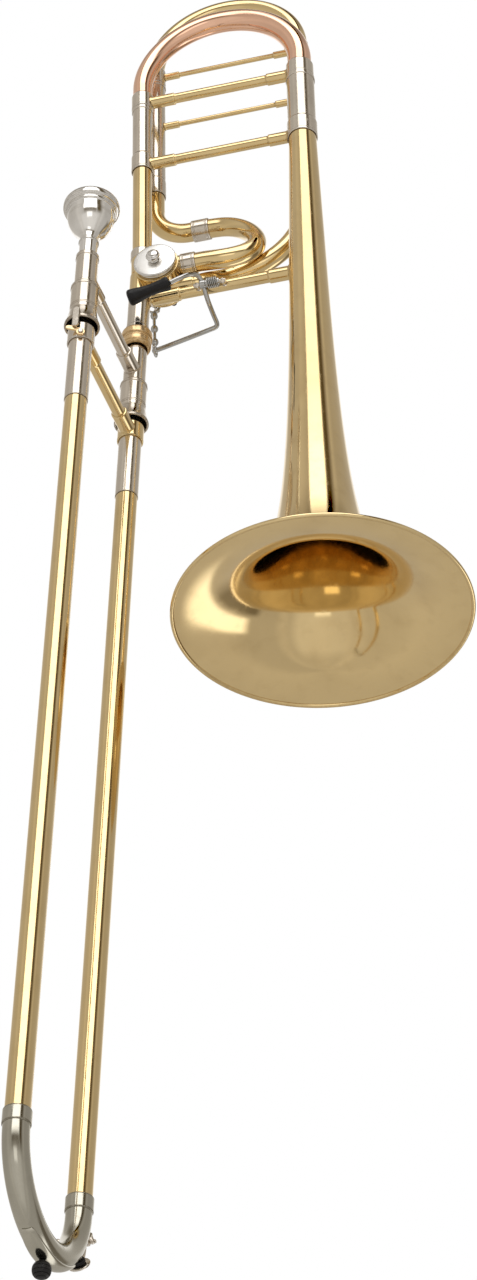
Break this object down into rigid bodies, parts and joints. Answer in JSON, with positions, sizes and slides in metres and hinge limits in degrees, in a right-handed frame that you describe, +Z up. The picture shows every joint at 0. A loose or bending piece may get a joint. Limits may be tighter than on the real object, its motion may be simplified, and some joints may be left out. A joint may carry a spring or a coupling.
{
  "type": "trombone with valve loop",
  "caption": "Tenor slide trombone with a flared bell, tuning slide, rotary valve with thumb trigger and loop, hand slide with latch and water key, and a cup mouthpiece.",
  "frame": {"origin": "centre of the bell's mouth", "axes": "+Z up from the slide bow to the tuning bow, +X from the neck pipe to the bell, -Y towards the mouthpiece leg and the thumb trigger"},
  "size_m": [0.2723, 0.233, 1.1631],
  "materials": {
    "yellow_brass": "polished and lacquered",
    "rose_brass": "polished red brass",
    "nickel": "polished nickel silver",
    "silver": "polished silver plate",
    "chrome": "polished steel",
    "nut_brass": "satin brass",
    "rubber": "matte",
    "cork": "cork"
  },
  "bodies": {
    "bell_section": {"bell": "yellow_brass", "bell_stem": "yellow_brass", "bell_tail": "yellow_brass", "bell_sleeve": "nickel", "neck_sleeve": "nickel", "neck_pipe": "yellow_brass", "upper_brace": "yellow_brass", "lower_brace": "yellow_brass", "valve_casing": "yellow_brass", "valve_front_plate": "silver", "valve_back_plate": "yellow_brass", "valve_button": "silver", "slide_receiver": "nickel", "loop_port_ferrule": "nickel", "loop_return_bow": "yellow_brass", "loop_run_ferrule": "nickel", "loop_left_bend": "yellow_brass", "loop_sleeve_left": "nickel", "loop_sleeve_right": "nickel", "loop_right_sweep": "yellow_brass", "loop_brace": "yellow_brass", "lever_bracket": "nickel", "stop_cork_1": "cork", "stop_cork_2": "cork"},
    "main_tuning_slide": {"tuning_bow": "rose_brass", "tuning_leg_neck": "nickel", "tuning_leg_bell": "nickel", "tuning_brace": "yellow_brass"},
    "loop_tuning_slide": {"loop_bow": "yellow_brass", "loop_leg_left": "nickel", "loop_leg_right": "nickel", "loop_slide_brace": "yellow_brass"},
    "valve_rotor": {"rotor": "yellow_brass", "rotor_crank": "nickel"},
    "trigger": {"thumb_lever": "chrome", "thumb_pad": "rubber", "lever_spring": "nickel"},
    "trigger_link": {"crank_link": "nickel"},
    "slide_nut": {"lock_nut": "nut_brass"},
    "inner_slide": {"inner_tube_neck": "nickel", "inner_tube_mouth": "nickel", "barrel_neck": "nickel", "barrel_mouth": "nickel", "brace_sleeve_neck": "nickel", "mouthpiece_receiver": "nickel", "inner_brace": "nickel", "lock_tab": "nickel"},
    "outer_slide": {"stocking_neck": "nickel", "stocking_mouth": "nickel", "outer_tube_neck": "yellow_brass", "outer_tube_mouth": "yellow_brass", "outer_brace": "yellow_brass", "slide_bow": "nickel", "bow_guard": "nickel", "rest_bumper": "rubber", "key_post": "nickel"},
    "latch": {"slide_latch": "nut_brass"},
    "spit_key": {"water_key": "nickel", "key_cork": "rubber"},
    "cup_mouthpiece": {"mouthpiece": "silver"}
  },
  "joints": [
    {"name": "main_tuning_pull", "type": "slide", "parent": "bell_section", "child": "main_tuning_slide", "axis": [0, 0, 1], "range_m": [0, 0.04]},
    {"name": "loop_tuning_pull", "type": "slide", "parent": "bell_section", "child": "loop_tuning_slide", "axis": [0, 0, 1], "range_m": [0, 0.04]},
    {"name": "rotor_turn", "type": "hinge", "parent": "bell_section", "child": "valve_rotor", "pos_m": [-0.1115, 0, 0.3488], "axis": [0, 1, 0], "range_deg": [0, 80]},
    {"name": "trigger_press", "type": "hinge", "parent": "bell_section", "child": "trigger", "pos_m": [-0.125, -0.01, 0.3196], "axis": [1, 0, 0], "range_deg": [0, 24], "stiffness_Nm_per_rad": 0.12, "springref_deg": -22.92},
    {"name": "link_swing", "type": "hinge", "parent": "trigger", "child": "trigger_link", "pos_m": [-0.1224, 0.0268, 0.2985], "axis": [1, 0, 0], "range_deg": [-18, 0]},
    {"name": "nut_turn", "type": "hinge", "parent": "bell_section", "child": "slide_nut", "pos_m": [-0.125, 0, 0.3659], "axis": [0.0375, 0.0284, 0.9989], "range_deg": [0, 360]},
    {"name": "slide_angle", "type": "hinge", "parent": "bell_section", "child": "inner_slide", "pos_m": [-0.125, 0, 0.3659], "axis": [0.0375, 0.0284, 0.9989], "range_deg": [-15, 15]},
    {"name": "hand_slide", "type": "slide", "parent": "inner_slide", "child": "outer_slide", "axis": [-0.0375, -0.0284, -0.9989], "range_m": [0, 0.58]},
    {"name": "latch_turn", "type": "hinge", "parent": "outer_slide", "child": "latch", "pos_m": [-0.13633, -0.1146, 0.18718], "axis": [0.274, -0.9616, 0.0171], "range_deg": [0, 75]},
    {"name": "water_key_press", "type": "hinge", "parent": "outer_slide", "child": "spit_key", "pos_m": [-0.15472, -0.01187, -0.44741], "axis": [0.9968, -0.0723, -0.0354], "range_deg": [0, 20], "stiffness_Nm_per_rad": 0.03, "springref_deg": -22.92},
    {"name": "mouthpiece_pull", "type": "slide", "parent": "inner_slide", "child": "cup_mouthpiece", "axis": [0.0375, 0.0284, 0.9989], "range_m": [0, 0.03]}
  ],
  "couplings": [
    {"joint": "trigger_press", "follows": "rotor_turn", "ratio": 0.3},
    {"joint": "link_swing", "follows": "rotor_turn", "ratio": -0.2086}
  ]
}
